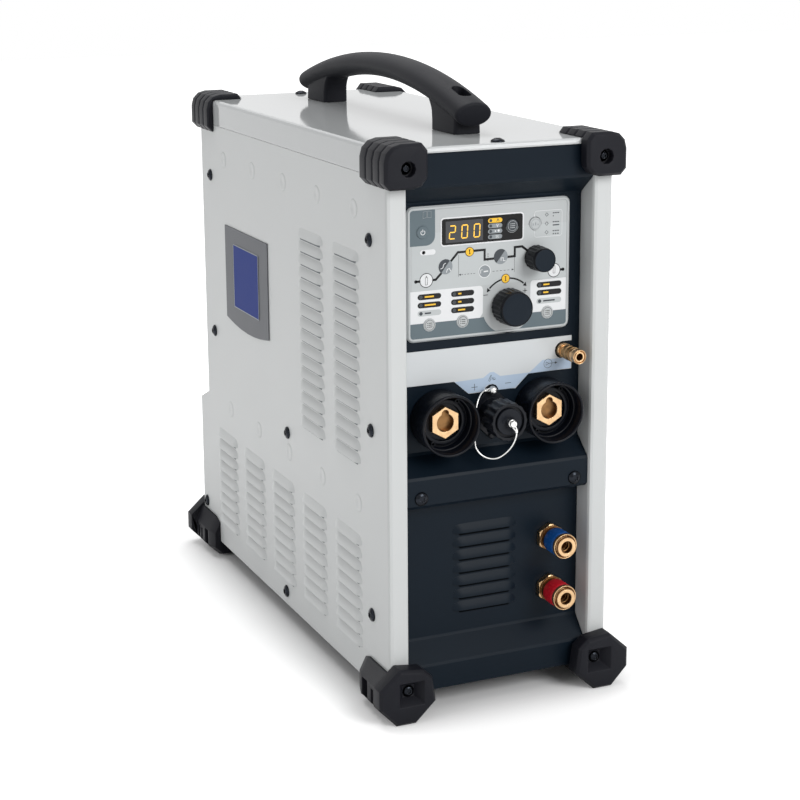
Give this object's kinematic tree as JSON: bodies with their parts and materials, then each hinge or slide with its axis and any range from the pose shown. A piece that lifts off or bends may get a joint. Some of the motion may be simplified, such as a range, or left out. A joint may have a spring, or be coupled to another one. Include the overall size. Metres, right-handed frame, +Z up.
{
  "type": "tig welding machine",
  "caption": "Tall narrow inverter TIG welding power source on a liquid cooler: louvred sheet casing, moulded corners, arched carrying handle, control panel, sockets and quick couplings.",
  "frame": {"origin": "on the floor under the centre of the machine's footprint", "axes": "+X to the operator's right, -Y out of the front with the sockets, +Z up"},
  "size_m": [0.207, 0.472, 0.4737],
  "materials": {
    "light_paint": "satin light grey powder coat",
    "lid_paint": "glossy light grey paint",
    "dark_paint": "matt blue-black powder coat",
    "rubber": "matt charcoal moulding",
    "handle_plastic": "matt charcoal moulding",
    "grey_plastic": "satin light grey",
    "black_plastic": "satin black",
    "window": "gloss smoked",
    "brass": "machined",
    "steel": "bright",
    "blue_ring": "brass sleeve with a blue anodised-look ring",
    "red_ring": "brass sleeve with a red anodised-look ring",
    "badge": "satin slate grey",
    "circuit": "green laminate",
    "aluminium": "mill finish",
    "copper": "laminated core with a copper-coloured winding",
    "tank": "natural polyethylene"
  },
  "bodies": {
    "machine": {"base_pan": "dark_paint", "deck_plate": "dark_paint", "left_side_panel": "light_paint", "right_side_panel": "light_paint", "lid": "lid_paint", "upper_front_panel": "dark_paint", "lower_front_panel": "dark_paint", "rear_upper_panel": "dark_paint", "rear_lower_panel": "dark_paint", "bumper_front_left": "rubber", "bumper_front_right": "rubber", "bumper_rear_left": "rubber", "bumper_rear_right": "rubber", "foot_front_left": "rubber", "foot_front_right": "rubber", "foot_rear_left": "rubber", "foot_rear_right": "rubber", "handle": "handle_plastic", "control_bezel": "black_plastic", "display_window": "window", "control_board": "circuit", "name_strip": "grey_plastic", "plus_socket_hood": "black_plastic", "plus_socket": "brass", "minus_socket_hood": "black_plastic", "minus_socket": "brass", "control_connector": "black_plastic", "cap_lanyard": "steel", "gas_outlet": "brass", "coolant_supply_coupling": "brass", "coolant_return_coupling": "brass", "side_badge": "badge", "mains_switch": "black_plastic", "cable_gland": "black_plastic", "gas_inlet": "brass", "fan_grille": "steel", "fan_housing": "black_plastic", "transformer": "copper", "heatsink": "aluminium", "power_board": "circuit", "gas_solenoid": "brass", "coolant_tank": "tank", "coolant_pump": "handle_plastic", "radiator": "aluminium"},
    "standby_button": {"standby_button": "grey_plastic"},
    "display_button": {"display_button": "grey_plastic"},
    "job_button": {"job_button": "grey_plastic"},
    "process_button": {"process_button": "grey_plastic"},
    "trigger_button": {"trigger_button": "grey_plastic"},
    "pulse_button": {"pulse_button": "grey_plastic"},
    "main_knob": {"main_knob": "black_plastic"},
    "cycle_knob": {"cycle_knob": "black_plastic"},
    "dust_cap": {"dust_cap": "black_plastic"},
    "gas_outlet_sleeve": {"gas_outlet_sleeve": "brass"},
    "coolant_supply_coupling_sleeve": {"coolant_supply_coupling_sleeve": "blue_ring"},
    "coolant_return_coupling_sleeve": {"coolant_return_coupling_sleeve": "red_ring"},
    "mains_switch_knob": {"mains_switch_knob": "handle_plastic"},
    "filler_cap": {"filler_cap": "black_plastic"},
    "fan_rotor": {"fan_rotor": "handle_plastic"}
  },
  "joints": [
    {"name": "standby_press", "type": "slide", "parent": "machine", "child": "standby_button", "axis": [0, 1, 0], "range_m": [0, 0.0006], "stiffness_N_per_m": 200},
    {"name": "display_press", "type": "slide", "parent": "machine", "child": "display_button", "axis": [0, 1, 0], "range_m": [0, 0.0006], "stiffness_N_per_m": 200},
    {"name": "job_press", "type": "slide", "parent": "machine", "child": "job_button", "axis": [0, 1, 0], "range_m": [0, 0.0006], "stiffness_N_per_m": 200},
    {"name": "process_press", "type": "slide", "parent": "machine", "child": "process_button", "axis": [0, 1, 0], "range_m": [0, 0.0006], "stiffness_N_per_m": 200},
    {"name": "trigger_press", "type": "slide", "parent": "machine", "child": "trigger_button", "axis": [0, 1, 0], "range_m": [0, 0.0006], "stiffness_N_per_m": 200},
    {"name": "pulse_press", "type": "slide", "parent": "machine", "child": "pulse_button", "axis": [0, 1, 0], "range_m": [0, 0.0006], "stiffness_N_per_m": 200},
    {"name": "main_knob_turn", "type": "hinge", "parent": "machine", "child": "main_knob", "pos_m": [0.013, -0.1965, 0.3002], "axis": [0, -1, 0], "continuous": true},
    {"name": "cycle_knob_turn", "type": "hinge", "parent": "machine", "child": "cycle_knob", "pos_m": [0.0353, -0.1965, 0.3345], "axis": [0, -1, 0], "continuous": true},
    {"name": "dust_cap_turn", "type": "hinge", "parent": "machine", "child": "dust_cap", "pos_m": [0, -0.2155, 0.221], "axis": [0, -1, 0], "range_deg": [0, 300]},
    {"name": "gas_sleeve_slide", "type": "slide", "parent": "machine", "child": "gas_outlet_sleeve", "axis": [0, 1, 0], "range_m": [0, 0.003], "stiffness_N_per_m": 400},
    {"name": "coolant_supply_sleeve_slide", "type": "slide", "parent": "machine", "child": "coolant_supply_coupling_sleeve", "axis": [0, 1, 0], "range_m": [0, 0.003], "stiffness_N_per_m": 600},
    {"name": "coolant_return_sleeve_slide", "type": "slide", "parent": "machine", "child": "coolant_return_coupling_sleeve", "axis": [0, 1, 0], "range_m": [0, 0.003], "stiffness_N_per_m": 600},
    {"name": "mains_switch_turn", "type": "hinge", "parent": "machine", "child": "mains_switch_knob", "pos_m": [-0.045, 0.197, 0.3535], "axis": [0, 1, 0], "range_deg": [0, 90]},
    {"name": "filler_cap_turn", "type": "hinge", "parent": "machine", "child": "filler_cap", "pos_m": [-0.052, 0.22, 0.1135], "axis": [0, 1, 0], "range_deg": [0, 120]},
    {"name": "fan_spin", "type": "hinge", "parent": "machine", "child": "fan_rotor", "pos_m": [0, 0.1845, 0.2405], "axis": [0, 1, 0], "continuous": true}
  ]
}
